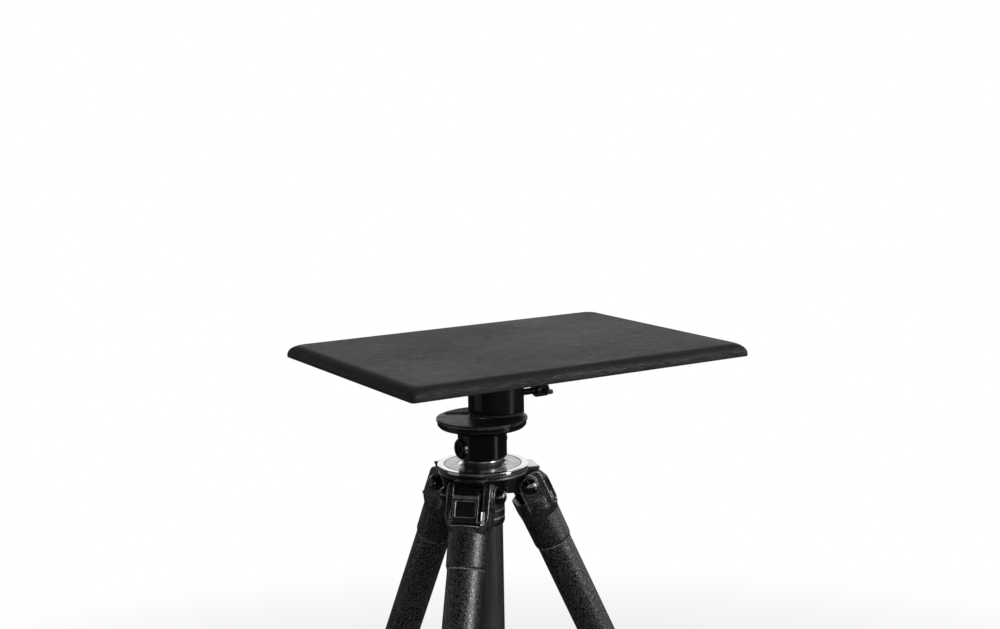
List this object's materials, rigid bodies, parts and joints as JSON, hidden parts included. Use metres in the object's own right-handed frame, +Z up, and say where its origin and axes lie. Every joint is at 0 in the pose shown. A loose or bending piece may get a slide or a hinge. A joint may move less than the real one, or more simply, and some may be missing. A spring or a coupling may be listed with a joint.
{
  "type": "tethering table on stand",
  "caption": "Black wooden work board on a tube receiver, clamped to the spigot of a three-legged telescopic studio stand.",
  "frame": {"origin": "middle of the object's box in plan, on the floor under the three feet", "axes": "+Z up; the board's long front edge faces -Y and runs along X; the wing screw points to +X"},
  "size_m": [0.83, 0.83, 1.1251],
  "materials": {
    "painted_wood": "satin black paint over fine grain",
    "black_enamel": "gloss black enamel",
    "black_casting": "semi-matt black paint on a die casting",
    "crackle_tube": "dark grey hammered paint on aluminium tube",
    "bare_aluminium": "turned, bare",
    "steel": "bright plated",
    "black_steel": "blackened steel",
    "black_rubber": "matt moulded rubber",
    "black_nylon": "satin moulded nylon",
    "friction_pad": "mottled cork and rubber"
  },
  "bodies": {
    "spider": {"spider": "black_casting", "top_plate": "bare_aluminium", "column_bush": "black_nylon"},
    "column_lock": {"column_lock_collar": "black_casting"},
    "column": {"column_tube": "black_enamel", "column_cap": "black_nylon", "neck": "black_enamel", "neck_screw_left": "black_steel", "neck_screw_right": "black_steel", "head_disc": "black_enamel", "head_pad": "friction_pad", "spigot": "steel"},
    "table": {"board": "painted_wood", "receiver": "black_enamel", "receiver_end_ring": "black_nylon", "flange_screw_1": "steel", "flange_screw_2": "steel", "flange_screw_3": "steel", "flange_screw_4": "steel"},
    "clamp_pad": {"clamp_pad": "black_nylon"},
    "clamp_screw": {"clamp_screw": "black_steel", "wing_knob": "black_nylon"},
    "leg_1": {"yoke_1": "black_casting", "hinge_bolt_1": "steel", "hinge_nut_1": "steel", "stop_pin_1": "steel", "upper_tube_1": "crackle_tube"},
    "stop_1": {"angle_stop_1": "black_casting"},
    "upper_collar_1": {"upper_collar_1": "black_rubber"},
    "middle_1": {"middle_tube_1": "crackle_tube"},
    "lower_collar_1": {"lower_collar_1": "black_rubber"},
    "lower_1": {"lower_tube_1": "crackle_tube", "foot_1": "black_rubber"},
    "leg_2": {"yoke_2": "black_casting", "hinge_bolt_2": "steel", "hinge_nut_2": "steel", "stop_pin_2": "steel", "upper_tube_2": "crackle_tube"},
    "stop_2": {"angle_stop_2": "black_casting"},
    "upper_collar_2": {"upper_collar_2": "black_rubber"},
    "middle_2": {"middle_tube_2": "crackle_tube"},
    "lower_collar_2": {"lower_collar_2": "black_rubber"},
    "lower_2": {"lower_tube_2": "crackle_tube", "foot_2": "black_rubber"},
    "leg_3": {"yoke_3": "black_casting", "hinge_bolt_3": "steel", "hinge_nut_3": "steel", "stop_pin_3": "steel", "upper_tube_3": "crackle_tube"},
    "stop_3": {"angle_stop_3": "black_casting"},
    "upper_collar_3": {"upper_collar_3": "black_rubber"},
    "middle_3": {"middle_tube_3": "crackle_tube"},
    "lower_collar_3": {"lower_collar_3": "black_rubber"},
    "lower_3": {"lower_tube_3": "crackle_tube", "foot_3": "black_rubber"}
  },
  "joints": [
    {"name": "column_slide", "type": "slide", "parent": "spider", "child": "column", "axis": [0, 0, 1], "range_m": [-0.005, 0.25]},
    {"name": "column_lock_turn", "type": "hinge", "parent": "spider", "child": "column_lock", "pos_m": [-0.06204, -0.06204, 0.955], "axis": [0, 0, -1], "range_deg": [0, 90]},
    {"name": "table_pan", "type": "hinge", "parent": "column", "child": "table", "pos_m": [-0.06204, -0.06204, 1.08], "axis": [0, 0, 1], "continuous": true},
    {"name": "clamp_pad_travel", "type": "slide", "parent": "table", "child": "clamp_pad", "axis": [1, 0, 0], "range_m": [0, 0.004]},
    {"name": "wing_screw_turn", "type": "hinge", "parent": "clamp_pad", "child": "clamp_screw", "pos_m": [-0.03, -0.06204, 1.06912], "axis": [1, 0, 0], "range_deg": [0, 1080]},
    {"name": "leg_1_fold", "type": "hinge", "parent": "spider", "child": "leg_1", "pos_m": [-0.09008, -0.09008, 0.98442], "axis": [0.7071, -0.7071, 0], "range_deg": [0, 24.2]},
    {"name": "stop_1_pull", "type": "hinge", "parent": "leg_1", "child": "stop_1", "pos_m": [-0.11009, -0.11009, 0.96754], "axis": [0.7071, -0.7071, 0], "range_deg": [0, 14], "stiffness_Nm_per_rad": 0.3, "springref_deg": -17.19},
    {"name": "upper_collar_1_turn", "type": "hinge", "parent": "leg_1", "child": "upper_collar_1", "pos_m": [-0.09156, -0.09156, 0.98536], "axis": [0.2899, 0.2899, 0.9121], "range_deg": [0, 100]},
    {"name": "middle_1_slide", "type": "slide", "parent": "leg_1", "child": "middle_1", "axis": [0.2899, 0.2899, 0.9121], "range_m": [-0.12, 0.248]},
    {"name": "lower_collar_1_turn", "type": "hinge", "parent": "middle_1", "child": "lower_collar_1", "pos_m": [-0.09156, -0.09156, 0.98536], "axis": [0.2899, 0.2899, 0.9121], "range_deg": [0, 100]},
    {"name": "lower_1_slide", "type": "slide", "parent": "middle_1", "child": "lower_1", "axis": [0.2899, 0.2899, 0.9121], "range_m": [-0.14, 0.198]},
    {"name": "leg_2_fold", "type": "hinge", "parent": "spider", "child": "leg_2", "pos_m": [-0.02374, -0.0723, 0.98442], "axis": [0.2588, 0.9659, 0], "range_deg": [0, 24.2]},
    {"name": "stop_2_pull", "type": "hinge", "parent": "leg_2", "child": "stop_2", "pos_m": [0.0036, -0.07963, 0.96754], "axis": [0.2588, 0.9659, 0], "range_deg": [0, 14], "stiffness_Nm_per_rad": 0.3, "springref_deg": -17.19},
    {"name": "upper_collar_2_turn", "type": "hinge", "parent": "leg_2", "child": "upper_collar_2", "pos_m": [-0.02171, -0.07284, 0.98536], "axis": [-0.396, 0.1061, 0.9121], "range_deg": [0, 100]},
    {"name": "middle_2_slide", "type": "slide", "parent": "leg_2", "child": "middle_2", "axis": [-0.396, 0.1061, 0.9121], "range_m": [-0.12, 0.248]},
    {"name": "lower_collar_2_turn", "type": "hinge", "parent": "middle_2", "child": "lower_collar_2", "pos_m": [-0.02171, -0.07284, 0.98536], "axis": [-0.396, 0.1061, 0.9121], "range_deg": [0, 100]},
    {"name": "lower_2_slide", "type": "slide", "parent": "middle_2", "child": "lower_2", "axis": [-0.396, 0.1061, 0.9121], "range_m": [-0.14, 0.198]},
    {"name": "leg_3_fold", "type": "hinge", "parent": "spider", "child": "leg_3", "pos_m": [-0.0723, -0.02374, 0.98442], "axis": [-0.9659, -0.2588, 0], "range_deg": [0, 24.2]},
    {"name": "stop_3_pull", "type": "hinge", "parent": "leg_3", "child": "stop_3", "pos_m": [-0.07963, 0.0036, 0.96754], "axis": [-0.9659, -0.2588, 0], "range_deg": [0, 14], "stiffness_Nm_per_rad": 0.3, "springref_deg": -17.19},
    {"name": "upper_collar_3_turn", "type": "hinge", "parent": "leg_3", "child": "upper_collar_3", "pos_m": [-0.07284, -0.02171, 0.98536], "axis": [0.1061, -0.396, 0.9121], "range_deg": [0, 100]},
    {"name": "middle_3_slide", "type": "slide", "parent": "leg_3", "child": "middle_3", "axis": [0.1061, -0.396, 0.9121], "range_m": [-0.12, 0.248]},
    {"name": "lower_collar_3_turn", "type": "hinge", "parent": "middle_3", "child": "lower_collar_3", "pos_m": [-0.07284, -0.02171, 0.98536], "axis": [0.1061, -0.396, 0.9121], "range_deg": [0, 100]},
    {"name": "lower_3_slide", "type": "slide", "parent": "middle_3", "child": "lower_3", "axis": [0.1061, -0.396, 0.9121], "range_m": [-0.14, 0.198]}
  ],
  "couplings": [
    {"joint": "clamp_pad_travel", "follows": "wing_screw_turn", "m_per_rad": 0.00019894}
  ]
}
